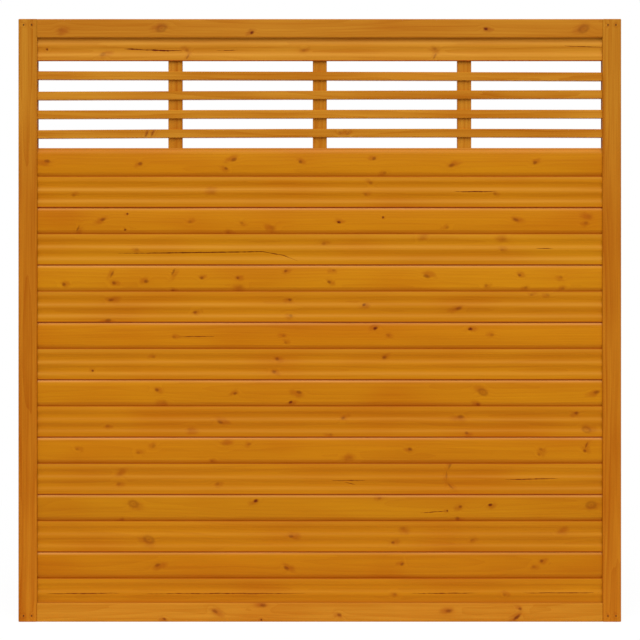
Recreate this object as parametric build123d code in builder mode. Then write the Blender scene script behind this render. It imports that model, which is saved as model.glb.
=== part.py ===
from build123d import *
import os

# Privacy fence panel: a grooved softwood frame filled with tongue-and-groove boards, flat and fluted
# by turns, with a lattice of slats and uprights under a fluted header board.
# Millimetres. X runs along the panel, the front faces -Y, +Z is up.
# The origin is the middle of the panel's foot.

os.makedirs("parts", exist_ok=True)

# Panel
panel_width = 1800.0
panel_height = 1800.0

# Frame timber
frame_depth = 35.0
stile_face = 56.0
rail_face = 56.0
frame_round = 4.0  # radius of the long edges
end_chamfer = 1.5  # around the ends of the stiles
groove_depth = 12.0
groove_play = 0.2  # between a board and each side of the groove
tenon_play = 0.1  # between a tenon and each side of its slot
end_play = 1.0  # between the end of a board and the bottom of the groove

# Boards: the same section, turned about for every second board
board_thickness = 19.0
board_cover_width = 85.8
face_step = 7.0  # the fluted face is this much taller than the pitch, the flat face this much shorter
chamfer_height = 12.0
chamfer_depth = 4.5
flute_width = 26.0
flute_depth = 2.5
flute_spacing = 34.6
flute_ease = 18.0  # radius of the ridges beside the flutes
lip_round = 1.5  # radius of the edges of the fluted face
tongue_thickness = 5.5
tongue_height = 5.0
tongue_play = 0.2
lowest_board_rip = 7.8  # taken off the lowest board so that it sits on the bottom of the groove
top_board_land = 6.8  # height of the planed top edge above the flat face of the top board
header_reveal = 68.5  # height of the header board that shows under the top rail

# Lattice
lattice_height_least = 240.0  # whole pairs of boards fill the panel up to this much below the header
slat_height = 25.0
slat_thickness = 19.0
slat_gap_target = 32.5
slat_chamfer = 1.2
slat_leans = (-1.9, 2.2, 1.0, 1.5)  # rise of each slat's right end over its middle
slat_bows = (0.3, 0.4, 1.0, 2.5)  # drop of each slat's ends under its middle
upright_count = 3
upright_width = 42.0
upright_thickness = 19.0
upright_setback = 8.0  # how far the uprights stand behind the front of the slats
upright_chamfer = 1.2
upright_lap = 34.0  # how far an upright reaches over the back of a board at each end
notch_play = 0.3  # above and below a slat in its notch

# Nails: square wire with a chisel tip and a head that is wider up and down
corner_nail_wire = 2.4
corner_nail_head = 5.0
corner_nail_length = 27.0
corner_nail_inset = 18.0  # from the end of the stile
corner_nail_edge = 16.0  # from the outer side of the stile
corner_nail_spacing = 24.0
lattice_nail_wire = 1.4
lattice_nail_head = 3.2
lattice_nail_length = 20.0
lap_nail_spacing = 20.0
header_nail_rise = 22.0  # above the upper shoulder of an upright
top_board_nail_drop = 7.0  # below the lower shoulder of an upright
nail_head_thickness = 1.2
nail_sink = 0.8  # depth of the head below the timber
nail_tip_length = 3.0
nail_play = 0.05

# Frame, worked out from the sizes above
inner_width = panel_width - 2 * stile_face
groove_width = board_thickness + 2 * groove_play
tenon_thickness = groove_width - 2 * tenon_play
tenon_height = rail_face - groove_depth
frame_front = -frame_depth / 2
board_length = inner_width + 2 * (groove_depth - end_play)
board_front = -board_thickness / 2
board_back = board_thickness / 2

# Levels of the boards: a board's line is the middle of the stepped joint at its lower edge
half_step = face_step / 2
lowest_line = tenon_height + half_step - lowest_board_rip
header_foot = panel_height - rail_face - header_reveal
header_line = header_foot + half_step
header_top = panel_height - tenon_height - end_play
board_pairs = int((header_foot - lattice_height_least - lowest_line) // (2 * board_cover_width))
board_rows = 2 * board_pairs
lattice_foot = lowest_line + board_rows * board_cover_width - half_step + top_board_land

# Lattice: equal gaps between the top board, the slats and the header board
lattice_height = header_foot - lattice_foot
slat_count = round((lattice_height - slat_gap_target) / (slat_height + slat_gap_target))
slat_pitch = (lattice_height + slat_height) / (slat_count + 1)
slat_back = board_front + slat_thickness
upright_front = board_front + upright_setback
upright_back = upright_front + upright_thickness
upright_head = header_line + half_step
upright_bay = (inner_width - upright_count * upright_width) / (upright_count + 1)
upright_spacing = upright_bay + upright_width
upright_middles = [
    (number - (upright_count - 1) / 2) * upright_spacing for number in range(upright_count)
]


def slat_level(number, across):
    """Height of a slat's middle line at a distance across the panel."""
    share = 2 * across / board_length
    level = header_foot + slat_height / 2 - (number + 1) * slat_pitch
    lean = slat_leans[number % len(slat_leans)]
    bow = slat_bows[number % len(slat_bows)]
    return level + lean * share - bow * share**2


def section_plane(line, turned):
    """Plane for a board's section; a turned board shows its fluted face at the front."""
    facing = -1 if turned else 1
    return Plane(
        origin=(-facing * board_length / 2, 0, line),
        x_dir=(0, facing, 0),
        z_dir=(facing, 0, 0),
    )


def front_seat(across, up):
    """Where a nail enters the front of the frame."""
    return Plane(origin=(across, frame_front, up), x_dir=(1, 0, 0), z_dir=(0, -1, 0))


def back_seat(across, up):
    """Where a nail enters the back of an upright."""
    return Plane(origin=(across, upright_back, up), x_dir=(1, 0, 0), z_dir=(0, 1, 0))


def bore(seats, wire, head, length):
    """Sockets for nails, with room for the sunk heads."""
    from_top = (Align.CENTER, Align.CENTER, Align.MAX)
    socket = wire + 2 * nail_play
    with Locations(*seats):
        Box(
            socket,
            head + 2 * nail_play,
            nail_sink + nail_head_thickness,
            align=from_top,
            mode=Mode.SUBTRACT,
        )
        Box(socket, socket, nail_sink + length, align=from_top, mode=Mode.SUBTRACT)


def drive(seats, wire, head, length):
    """Nails, one solid at each seat, drawn from the side and as thick as their wire."""
    head_top = -nail_sink
    head_foot = head_top - nail_head_thickness
    tip = head_top - length
    with BuildPart() as nails:
        for seat in seats:
            with BuildSketch(Plane(seat.origin, x_dir=seat.y_dir, z_dir=seat.x_dir)):
                with BuildLine():
                    Polyline(
                        (-head / 2, head_top),
                        (head / 2, head_top),
                        (head / 2, head_foot),
                        (wire / 2, head_foot),
                        (wire / 2, tip + nail_tip_length),
                        (0, tip),
                        (-wire / 2, tip + nail_tip_length),
                        (-wire / 2, head_foot),
                        (-head / 2, head_foot),
                        close=True,
                    )
                make_face()
            extrude(amount=wire / 2, both=True)
    return nails


def save(piece, name):
    """Label a finished piece and write it to its own file."""
    piece.part.label = name
    export_step(piece.part, f"parts/{name}.step")


# The two sizes of nail, and where they go
corner_nail = (corner_nail_wire, corner_nail_head, corner_nail_length)
lattice_nail = (lattice_nail_wire, lattice_nail_head, lattice_nail_length)
corner_seats = {
    side: [
        front_seat(side * (panel_width / 2 - corner_nail_edge - step * corner_nail_spacing), up)
        for step in range(2)
        for up in (corner_nail_inset, panel_height - corner_nail_inset)
    ]
    for side in (-1, 1)
}
crossing_seats = [
    [back_seat(middle, slat_level(number, middle)) for middle in upright_middles]
    for number in range(slat_count)
]
header_seats = [
    back_seat(middle + side * lap_nail_spacing / 2, upright_head + header_nail_rise)
    for middle in upright_middles
    for side in (-1, 1)
]
top_board_seats = [
    back_seat(middle + side * lap_nail_spacing / 2, lattice_foot - top_board_nail_drop)
    for middle in upright_middles
    for side in (-1, 1)
]
lattice_seats = sum(crossing_seats, []) + header_seats + top_board_seats

# Stiles: full height, grooved on the inner side, with an open slot at each end for a tenon
for side, name in ((-1, "left_stile"), (1, "right_stile")):
    stile_middle = side * (panel_width - stile_face) / 2
    with BuildPart() as stile:
        with BuildSketch():
            with Locations((stile_middle, 0)):
                RectangleRounded(stile_face, frame_depth, frame_round)
        extrude(amount=panel_height)
        end_edges = stile.edges().group_by(Axis.Z)
        chamfer(end_edges[0] + end_edges[-1], end_chamfer)
        with BuildSketch():
            with Locations((side * inner_width / 2, 0)):
                Rectangle(2 * groove_depth, groove_width)
        extrude(amount=panel_height, mode=Mode.SUBTRACT)
        for slot_foot in (0, panel_height - tenon_height):
            with BuildSketch(Plane.XY.offset(slot_foot)):
                with Locations((stile_middle, 0)):
                    Rectangle(stile_face, groove_width)
            extrude(amount=tenon_height, mode=Mode.SUBTRACT)
        bore(corner_seats[side], *corner_nail)
    save(stile, name)

# Rails: grooved towards the boards, with a tenon at each end that comes through flush with the stile
for name, rail_foot, groove_foot, tenon_foot in (
    ("bottom_rail", 0, tenon_height, 0),
    ("top_rail", panel_height - rail_face, panel_height - rail_face, panel_height - tenon_height),
):
    with BuildPart() as rail:
        with BuildSketch(Plane.YZ):
            with Locations((0, rail_foot + rail_face / 2)):
                RectangleRounded(frame_depth, rail_face, frame_round)
            with Locations((0, groove_foot + groove_depth / 2)):
                Rectangle(groove_width, groove_depth, mode=Mode.SUBTRACT)
        extrude(amount=inner_width / 2, both=True)
        with BuildSketch(Plane.YZ):
            with Locations((0, tenon_foot + tenon_height / 2)):
                Rectangle(tenon_thickness, tenon_height)
        extrude(amount=panel_width / 2, both=True)
        bore(corner_seats[-1] + corner_seats[1], *corner_nail)
    save(rail, name)

# Section of every board, drawn with the flat face on the left and its line at zero height
flat_foot = half_step
flat_head = board_cover_width - half_step
fluted_foot = -half_step
fluted_head = board_cover_width + half_step
tongue_side = tongue_thickness / 2
slot_side = tongue_side + tongue_play
slot_head = half_step + tongue_height + tongue_play
chamfer_front = board_front + chamfer_depth
with BuildSketch() as board_section:
    with BuildLine():
        edge = (board_back, fluted_head)
        for flute_middle in (board_cover_width + flute_spacing, board_cover_width - flute_spacing):
            flute_head = (board_back, flute_middle / 2 + flute_width / 2)
            flute_foot = (board_back, flute_middle / 2 - flute_width / 2)
            Line(edge, flute_head)
            ThreePointArc(flute_head, (board_back - flute_depth, flute_middle / 2), flute_foot)
            edge = flute_foot
        Polyline(
            edge,
            (board_back, fluted_foot),
            (slot_side, fluted_foot),
            (slot_side, slot_head),
            (-slot_side, slot_head),
            (-slot_side, flat_foot),
            (chamfer_front, flat_foot),
            (board_front, flat_foot + chamfer_height),
            (board_front, flat_head - chamfer_height),
            (chamfer_front, flat_head),
            (-tongue_side, flat_head),
            (-tongue_side, fluted_head + tongue_height),
            (tongue_side, fluted_head + tongue_height),
            (tongue_side, fluted_head),
            (board_back, fluted_head),
        )
    make_face()
    fluted_corners = board_section.vertices().group_by(Axis.X)[-1].sort_by(Axis.Y)
    fillet([fluted_corners[0], fluted_corners[-1]], lip_round)
    flute_edges = board_section.vertices().group_by(Axis.X)[-1].sort_by(Axis.Y)[1:-1]
    fillet(flute_edges, flute_ease)

# Boards from the bottom up: the lowest shows its fluted face, the top one its flat face
for row in range(board_rows):
    turned = row % 2 == 0
    number = board_pairs - row // 2
    with BuildPart() as board:
        with BuildSketch(section_plane(lowest_line + row * board_cover_width, turned)):
            add(board_section.sketch)
        extrude(amount=board_length)
        if row == 0:
            split(bisect_by=Plane.XY.offset(tenon_height), keep=Keep.TOP)
        if row == board_rows - 1:
            split(bisect_by=Plane.XY.offset(lattice_foot), keep=Keep.BOTTOM)
            bore(top_board_seats, *lattice_nail)
    save(board, f"fluted_board_{number}" if turned else f"flat_board_{number}")

# Header board: a turned board with its top ripped off inside the groove of the top rail
with BuildPart() as header_board:
    with BuildSketch(section_plane(header_line, True)):
        add(board_section.sketch)
    extrude(amount=board_length)
    split(bisect_by=Plane.XY.offset(header_top), keep=Keep.BOTTOM)
    bore(header_seats, *lattice_nail)
save(header_board, "header_board")

# Slats: long battens from groove to groove, each a little off level and bowed
for number in range(slat_count):
    slat_ends = (-board_length / 2, board_length / 2)
    left_level, right_level = (slat_level(number, end) for end in slat_ends)
    pull_level = 2 * slat_level(number, 0) - (left_level + right_level) / 2
    with BuildPart() as slat:
        with BuildSketch(Plane.XZ.offset(-board_front)):
            with BuildLine():
                upper = Bezier(
                    (slat_ends[0], left_level + slat_height / 2),
                    (0, pull_level + slat_height / 2),
                    (slat_ends[1], right_level + slat_height / 2),
                )
                lower = Bezier(
                    (slat_ends[0], left_level - slat_height / 2),
                    (0, pull_level - slat_height / 2),
                    (slat_ends[1], right_level - slat_height / 2),
                )
                Line(upper @ 0, lower @ 0)
                Line(upper @ 1, lower @ 1)
            make_face()
        extrude(amount=-slat_thickness)
        long_edges = slat.edges().sort_by(Edge.length)[-4:]
        chamfer(long_edges, slat_chamfer)
        bore(crossing_seats[number], *lattice_nail)
    save(slat, f"lattice_slat_{number + 1}")

# Uprights: notched over the slats, and rebated at both ends to lap over the backs of the boards
for place, middle in enumerate(upright_middles):
    with BuildPart() as upright:
        with BuildSketch(Plane.YZ.offset(middle)):
            with BuildLine():
                Polyline(
                    (upright_front, lattice_foot),
                    (upright_front, upright_head),
                    (board_back, upright_head),
                    (board_back, upright_head + upright_lap),
                    (upright_back, upright_head + upright_lap),
                    (upright_back, lattice_foot - upright_lap),
                    (board_back, lattice_foot - upright_lap),
                    (board_back, lattice_foot),
                    close=True,
                )
            make_face()
            for number in range(slat_count):
                with Locations((slat_back, slat_level(number, middle))):
                    Rectangle(
                        slat_thickness,
                        slat_height + 2 * notch_play,
                        align=(Align.MAX, Align.CENTER),
                        mode=Mode.SUBTRACT,
                    )
        extrude(amount=upright_width / 2, both=True)
        upright_edges = upright.edges().filter_by(Axis.Z).group_by(Axis.Y)
        chamfer(upright_edges[0] + upright_edges[-1], upright_chamfer)
        bore(lattice_seats, *lattice_nail)
    save(upright, f"lattice_upright_{place + 1}")

# Nails: two in the face of each corner, and those that hold the lattice together from behind
corner_nails = drive(corner_seats[-1] + corner_seats[1], *corner_nail)
save(corner_nails, "corner_nails")
lattice_nails = drive(lattice_seats, *lattice_nail)
save(lattice_nails, "lattice_nails")
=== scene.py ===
"""Finish for a privacy fence panel: boards swept to their section and split by drying checks,
knotty pine under a honey-brown stain, steel nails, and a plain white stage."""

import math
import random

import bpy
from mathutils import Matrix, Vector


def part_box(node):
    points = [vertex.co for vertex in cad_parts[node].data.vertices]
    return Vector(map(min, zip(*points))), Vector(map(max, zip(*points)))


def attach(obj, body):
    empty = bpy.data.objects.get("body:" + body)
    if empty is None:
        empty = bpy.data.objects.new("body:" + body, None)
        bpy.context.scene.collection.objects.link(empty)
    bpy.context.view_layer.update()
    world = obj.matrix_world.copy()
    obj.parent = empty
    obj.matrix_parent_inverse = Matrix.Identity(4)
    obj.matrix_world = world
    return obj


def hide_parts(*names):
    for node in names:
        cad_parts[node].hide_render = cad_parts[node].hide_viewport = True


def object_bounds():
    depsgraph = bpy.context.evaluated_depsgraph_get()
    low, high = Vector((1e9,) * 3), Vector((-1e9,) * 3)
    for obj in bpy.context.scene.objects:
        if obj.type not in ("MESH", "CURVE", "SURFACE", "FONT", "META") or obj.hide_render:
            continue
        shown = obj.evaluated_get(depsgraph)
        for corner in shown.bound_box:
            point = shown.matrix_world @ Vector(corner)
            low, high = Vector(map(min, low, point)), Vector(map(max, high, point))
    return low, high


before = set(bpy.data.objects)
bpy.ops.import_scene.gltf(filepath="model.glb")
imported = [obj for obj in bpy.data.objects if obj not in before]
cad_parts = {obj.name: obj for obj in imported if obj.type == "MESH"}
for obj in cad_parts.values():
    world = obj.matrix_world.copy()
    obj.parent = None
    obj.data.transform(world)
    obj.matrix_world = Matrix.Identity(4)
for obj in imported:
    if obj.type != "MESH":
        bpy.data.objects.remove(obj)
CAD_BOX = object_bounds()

bl_info = {
    "name": "Privacy fence panel",
    "version": (1, 0, 0),
    "blender": (4, 5, 0),
    "location": "3D View > Sidebar > Fence Panel",
    "description": "Makes the boards, finishes the timber and nails, and sets the stage",
    "category": "Object",
}

BODY = "root"
MM = 0.001
WHITE = (1.0, 1.0, 1.0)

# Middle of a noise, as a value and as a vector, and how finely a noise breaks up
NOISE_MIDDLE = 0.5
NOISE_CENTRE = (0.5, 0.5, 0.5)
SMOOTH = 1.0
PLAIN = 2.0
FINE = 3.0

# Pieces of the frame, by the part they play
STILES = ("left_stile", "right_stile")
RAILS = ("top_rail", "bottom_rail")
HEADER = "header_board"
FLAT_BOARDS = sorted(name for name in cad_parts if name.startswith("flat_board"))
FLUTED_BOARDS = sorted(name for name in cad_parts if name.startswith("fluted_board"))
LATTICE = sorted(
    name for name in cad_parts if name.startswith(("lattice_slat", "lattice_upright"))
)
NAILS = ("corner_nails", "lattice_nails")
LOWEST_BOARD = FLUTED_BOARDS[-1]
TOP_BOARD = FLAT_BOARDS[0]

# Sizes of the boards that the frame gives
PLAIN_FOOT, PLAIN_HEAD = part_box("fluted_board_4")
NEXT_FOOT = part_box("flat_board_4")[0]
PANEL_FRONT = CAD_BOX[0].y
RAIL_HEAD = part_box("bottom_rail")[1].z

# Waves a metre in which the boards stray from their section and the checks from their lines
BOARD_WAVES = (1.6, 14.0, 14.0)
CHECK_WAVES = (24.0, 24.0, 24.0)

# Steps in which a check is laid over the hollows of a board, the length of its strips as a share of the
# board's, and how bluntly it ends
CHECK_STEPS = 8
CHECK_STRIP = 0.35
CHECK_TAPER = 0.7

# The blade that cuts a check, in half widths of the check: its width, and its reach in and out
BLADE_WIDTH = 2.0
BLADE_REACH = 3.0

# Torn sides of a check: waves a metre, the span of the noise, and the shares of the width it gives
TORN_WAVES = (70.0, 0.0, 0.0)
TORN_SPAN = (0.35, 0.65)
TORN_WIDTHS = (0.5, 1.2)

# Edges of a board that turn further than this stay sharp
CREASE = math.radians(12)

# Kinds of knot, and the stain round a nail: width along the grain and height across it in millimetres,
# how dark the core is, and how brown the timber beside it
KNOT_KINDS = {
    "pin": (7, 7, 0.9, 0.2),
    "dark": (14, 9, 0.95, 0.4),
    "tight": (13, 10, 0.55, 0.35),
    "broad": (20, 11, 0.5, 0.4),
    "faint": (12, 9, 0.26, 0.3),
    "smudge": (17, 13, 0.1, 0.42),
    "eye": (22, 15, 0.3, 0.3),
    "slash": (7, 22, 0.5, 0.3),
    "branch": (6, 26, 0.4, 0.2),
    "fork": (6, 26, 0.4, 0.2),
    "split": (9, 30, 0.75, 0.35),
    "nail": (6, 6, 0.5, 0.2),
}

# Lean of the knots that the saw cut along their length, as an angle from straight across the grain
KNOT_TILTS = {"slash": 0.45, "branch": 0.0, "fork": -0.8, "split": 0.9}

# Where the knots and nails are, in millimetres along the grain and across it from the piece's middle
CORNER_NAIL_MARKS = [(-882, -12), (-882, 12), (882, -12), (882, 12)]
KNOTS = {
    "left_stile": {"nail": CORNER_NAIL_MARKS},
    "right_stile": {"nail": CORNER_NAIL_MARKS},
    "top_rail": {
        "smudge": [(-774, -3)],
        "dark": [(-203, -13), (496, -2)],
        "eye": [(-472, 0), (788, -2)],
    },
    "bottom_rail": {
        "tight": [(-464, -19), (59, -7), (598, 11)],
        "broad": [(-313, 4), (-170, 21), (385, 5)],
        "pin": [(-174, -22)],
        "split": [(588, -14)],
    },
    "header_board": {
        "pin": [(-815, -5)],
        "broad": [(-649, -20)],
        "faint": [(-397, -8), (-48, -7), (345, -4)],
        "slash": [(-395, -26), (344, -25)],
    },
    "flat_board_1": {
        "broad": [(-815, 7), (-257, 11), (394, -6)],
        "tight": [(-537, -1), (-280, -15), (-58, 5), (162, 14), (643, 2)],
        "faint": [(194, -29)],
    },
    "fluted_board_1": {
        "faint": [(-736, -12), (153, 25), (137, -10), (523, -8)],
        "smudge": [(-319, -4)],
    },
    "flat_board_2": {
        "pin": [(-575, 18), (189, 8), (-582, -30)],
        "broad": [(-648, 1), (585, 1)],
        "slash": [(-723, -26)],
        "dark": [(57, -7)],
        "faint": [(-388, -6), (-233, -9), (-274, -38), (381, -23), (796, -9)],
        "smudge": [(-142, -23), (805, 11)],
    },
    "fluted_board_2": {
        "faint": [(12, 15), (545, -4), (-547, -2)],
        "smudge": [(305, 31), (551, 27)],
    },
    "flat_board_3": {
        "tight": [
            (-765, -21), (-615, -17), (-519, -12), (-439, -40),
            (-353, -2), (-245, -2), (-102, 19), (28, -14), (597, 6),
        ],
        "slash": [(-621, 10), (-438, 16)],
        "smudge": [(-236, -28)],
        "broad": [(319, 3)],
        "faint": [(42, 21), (497, -25), (616, -31), (721, 1), (727, -34)],
    },
    "fluted_board_3": {
        "broad": [(-625, 18), (-633, -43), (415, -7)],
        "tight": [(-373, -19), (-89, 19), (-86, -29)],
        "dark": [(132, 4)],
        "faint": [(633, 34), (681, 34)],
    },
    "flat_board_4": {
        "dark": [(166, 19), (450, 17)],
        "faint": [(-436, -7), (-108, -3), (-102, -24), (204, -2), (515, -1)],
    },
    "fluted_board_4": {
        "pin": [(-679, -22)],
        "tight": [(-128, 13), (-137, -25), (193, 18)],
        "faint": [(-497, 19)],
    },
    "flat_board_5": {
        "tight": [(-487, 7), (-253, -4), (473, -37)],
        "smudge": [(-463, -29)],
        "broad": [(-62, 0), (827, 0)],
        "dark": [(-87, -30)],
        "eye": [(487, 0)],
    },
    "fluted_board_5": {
        "faint": [(-635, -16), (33, -41)],
        "smudge": [(-390, -26)],
        "broad": [(-298, -4), (421, 12)],
        "tight": [(70, 8), (439, -36), (767, 23)],
        "eye": [(797, -27)],
    },
    "flat_board_6": {
        "faint": [(-726, 1), (-543, -10), (-496, 10), (-322, -34), (-211, 16), (661, 1), (655, -15)],
        "smudge": [(-284, 16), (90, -25)],
        "tight": [(270, 1), (792, -4)],
        "slash": [(797, 13)],
    },
    "fluted_board_6": {
        "smudge": [(-599, 12)],
        "faint": [(-601, -17), (-307, -17)],
        "slash": [(389, 38)],
        "branch": [(379, 8)],
        "fork": [(391, -24)],
    },
    "flat_board_7": {
        "eye": [(-557, 9), (811, 6)],
        "dark": [(-191, 18), (509, 6)],
        "tight": [(420, 1), (412, -35)],
        "pin": [(381, -12)],
        "faint": [(-591, -39), (179, 26)],
    },
    "fluted_board_7": {
        "eye": [(-511, -12)],
        "broad": [(-86, -2)],
        "smudge": [(246, 22), (719, 13)],
        "tight": [(219, -21)],
        "faint": [(455, -14)],
    },
    "flat_board_8": {
        "broad": [(-485, -2), (-100, -11)],
        "tight": [(246, 1), (663, 10)],
        "faint": [(639, -6)],
    },
    "fluted_board_8": {"faint": [(225, -7), (552, -9)]},
    "lattice_slat_4": {"slash": [(-518, -1), (-500, 1)], "faint": [(60, 2), (84, 0)]},
}

# Drying checks, each a line of points: along the grain, up from the middle, and the width, in millimetres
CHECKS = {
    "header_board": [
        [
            (-588, -4, 2.4), (-562, -4, 3.4), (-530, -6, 0.9),
            (-500, -7, 1.7), (-470, -8, 2.2), (-412, -9, 1.6),
        ],
        [(-312, -8, 0.8), (-240, -7, 0.8)],
        [(729, 5, 0.9), (846, 1, 0.9)],
    ],
    "fluted_board_1": [[(398, -1, 1.1), (532, -1, 1.1)]],
    "fluted_board_2": [
        [(-620, -14, 1.2), (-480, -13, 1.8), (-172, -9, 1.8), (-110, -20, 1.8), (-60, -40, 1.6)],
        [(646, 1, 0.8), (700, 0, 0.8)],
    ],
    "flat_board_4": [[(-430, -6, 0.8), (-312, -5, 0.8)]],
    "fluted_board_6": [
        [(30, -8, 1.0), (143, -6, 1.0)],
        [(70, -11, 0.7), (110, -20, 0.7)],
        [(550, -4, 1.0), (716, -1, 1.0)],
    ],
    "flat_board_7": [[(298, -18, 0.8), (384, -12, 0.8)]],
    "fluted_board_8": [
        [(-824, -6, 0.9), (-595, -5, 0.9)],
        [(-540, -6, 0.9), (-34, -5, 0.9)],
        [(264, -5, 0.9), (480, -4, 0.9)],
        [(600, -4, 1.0), (842, -3, 1.0)],
    ],
}

# How light each piece is, the boards mostly lighter towards the top of the panel, and how red it turned
TONES = {
    "left_stile": (1.02, 0.85),
    "right_stile": (1.02, 0.85),
    "top_rail": (1.05, 0.25),
    "bottom_rail": (1.04, 0.0),
    "header_board": (1.13, 0.06),
    "flat_board_1": (1.12, 0.16),
    "flat_board_2": (1.12, 0.26),
    "flat_board_3": (1.1, 0.0),
    "flat_board_4": (1.11, 0.3),
    "flat_board_5": (1.06, 0.2),
    "flat_board_6": (1.04, 0.3),
    "flat_board_7": (0.95, 0.0),
    "flat_board_8": (0.99, 0.4),
    "fluted_board_1": (1.08, 0.38),
    "fluted_board_2": (1.06, 0.02),
    "fluted_board_3": (1.06, 0.3),
    "fluted_board_4": (1.05, 0.3),
    "fluted_board_5": (1.03, 0.5),
    "fluted_board_6": (1.01, 0.35),
    "fluted_board_7": (0.99, 0.35),
    "fluted_board_8": (0.99, 0.37),
    "lattice_slat_1": (1.09, 0.0),
    "lattice_slat_2": (1.07, 0.0),
    "lattice_slat_3": (1.09, 0.0),
    "lattice_slat_4": (1.06, 0.0),
    "lattice_upright_1": (1.09, 0.2),
    "lattice_upright_2": (1.09, 0.2),
    "lattice_upright_3": (1.09, 0.2),
}


class Wire:
    """A node's output that can stand in a Python sum; every operator adds one Math node."""

    def __init__(self, sheet, socket):
        self.sheet = sheet
        self.socket = socket

    def out(self, name):
        """Another output of the same node."""
        return Wire(self.sheet, self.socket.node.outputs[name])

    def math(self, operation, *terms):
        """A Math node on these terms."""
        return self.sheet.add("ShaderNodeMath", {"operation": operation}, dict(enumerate(terms)))

    def __add__(self, other):
        return self.math("ADD", self, other)

    def __radd__(self, other):
        return self.math("ADD", other, self)

    def __sub__(self, other):
        return self.math("SUBTRACT", self, other)

    def __rsub__(self, other):
        return self.math("SUBTRACT", other, self)

    def __mul__(self, other):
        return self.math("MULTIPLY", self, other)

    def __rmul__(self, other):
        return self.math("MULTIPLY", other, self)

    def __truediv__(self, other):
        return self.math("DIVIDE", self, other)

    def __pow__(self, other):
        return self.math("POWER", self, other)

    def __abs__(self):
        return self.math("ABSOLUTE", self)

    def greater(self, other):
        return self.math("MAXIMUM", self, other)

    def lesser(self, other):
        return self.math("MINIMUM", self, other)

    def above(self, limit):
        return self.math("GREATER_THAN", self, limit)

    def fraction(self):
        return self.math("FRACT", self)

    def ramp(self, start, end, low=0.0, high=1.0, shape="SMOOTHSTEP"):
        """The value carried from start..end to low..high and held there."""
        return self.sheet.add(
            "ShaderNodeMapRange",
            {"interpolation_type": shape},
            {"Value": self, "From Min": start, "From Max": end, "To Min": low, "To Max": high},
        )


class NodeSheet:
    """A node tree that is filled one node at a time."""

    MIX_FACTOR, MIX_FIRST, MIX_SECOND, MIX_COLOUR = 0, 6, 7, 2

    def __init__(self, tree):
        self.tree = tree
        tree.nodes.clear()

    def add(self, kind, settings=None, sockets=None, output=0):
        """Add a node: its settings first, then the values or links of its sockets."""
        node = self.tree.nodes.new(kind)
        for name, value in (settings or {}).items():
            setattr(node, name, value)
        for key, value in (sockets or {}).items():
            if isinstance(value, Wire):
                self.tree.links.new(value.socket, node.inputs[key])
            else:
                node.inputs[key].default_value = value
        return Wire(self, node.outputs[output]) if node.outputs else None

    def vector(self, operation, *terms, output=0):
        return self.add("ShaderNodeVectorMath", {"operation": operation}, dict(enumerate(terms)), output)

    def blend(self, factor, first, second, mode="MIX"):
        """Two colours mixed, or the first tinted by the second."""
        return self.add(
            "ShaderNodeMix",
            {"data_type": "RGBA", "clamp_factor": True, "blend_type": mode},
            {self.MIX_FACTOR: factor, self.MIX_FIRST: first, self.MIX_SECOND: second},
            self.MIX_COLOUR,
        )

    def noise(self, vector, seed, scale=1.0, detail=PLAIN, output="Fac"):
        return self.add(
            "ShaderNodeTexNoise",
            {"noise_dimensions": "4D"},
            {"Vector": vector, "W": seed, "Scale": scale, "Detail": detail},
            output,
        )

    def bump(self, relief, strength, depth):
        """The tilt that a fine relief gives a surface."""
        return self.add("ShaderNodeBump", None, {"Strength": strength, "Distance": depth, "Height": relief})


def opaque(colour, tone=1.0):
    """A colour with its alpha, made lighter or darker."""
    return (*(channel * tone for channel in colour), 1.0)


def new_material(name):
    material = bpy.data.materials.new(name)
    material.use_nodes = True
    return material, NodeSheet(material.node_tree)


def close_material(sheet, shader):
    sheet.add("ShaderNodeOutputMaterial", sockets={"Surface": shader})


def coat(sheet, colour, roughness, gloss, tilt, metallic=0.0):
    """Close a material with one coat of this colour and shine."""
    shader = sheet.add(
        "ShaderNodeBsdfPrincipled",
        None,
        {
            "Base Color": colour,
            "Metallic": metallic,
            "Roughness": roughness,
            "Specular IOR Level": gloss,
            "Normal": tilt,
        },
    )
    close_material(sheet, shader)


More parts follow.
